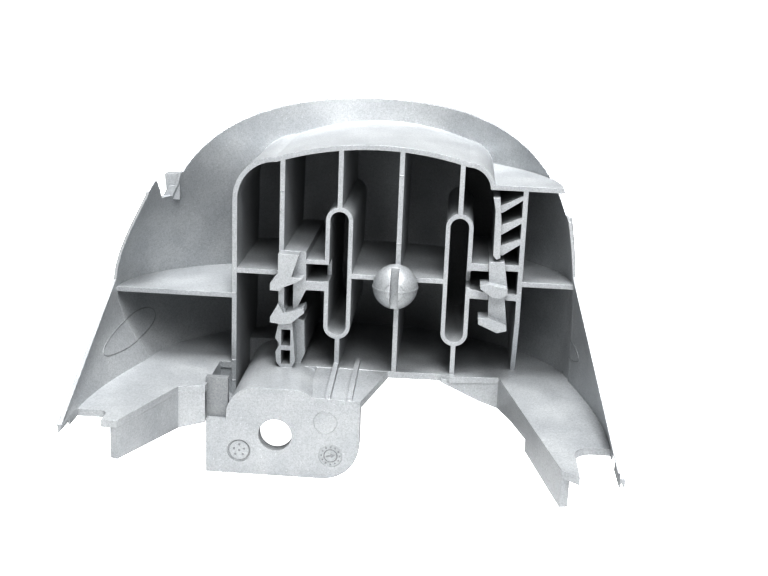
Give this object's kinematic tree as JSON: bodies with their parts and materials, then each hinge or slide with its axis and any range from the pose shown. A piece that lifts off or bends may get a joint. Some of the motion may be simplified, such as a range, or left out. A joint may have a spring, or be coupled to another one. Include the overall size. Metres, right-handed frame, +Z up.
{
  "type": "steering wheel trim panel",
  "caption": "Bowl-shaped moulded trim shell with a ribbed back, spreading legs, a ball stud, snap towers and a screw plate.",
  "frame": {"origin": "centre of the screw hole, on the front face of the screw plate", "axes": "+X across the panel to the viewer's right, +Y along the mould's draw, away from the ribbed open side towards the closed bowl, +Z up from the floor to the crown"},
  "size_m": [0.1088, 0.0926, 0.0758],
  "materials": {
    "silver_plastic": "satin silver-grey, metal-flake pigment moulded in"
  },
  "bodies": {
    "root": {"trim_panel": "silver_plastic"}
  },
  "joints": []
}
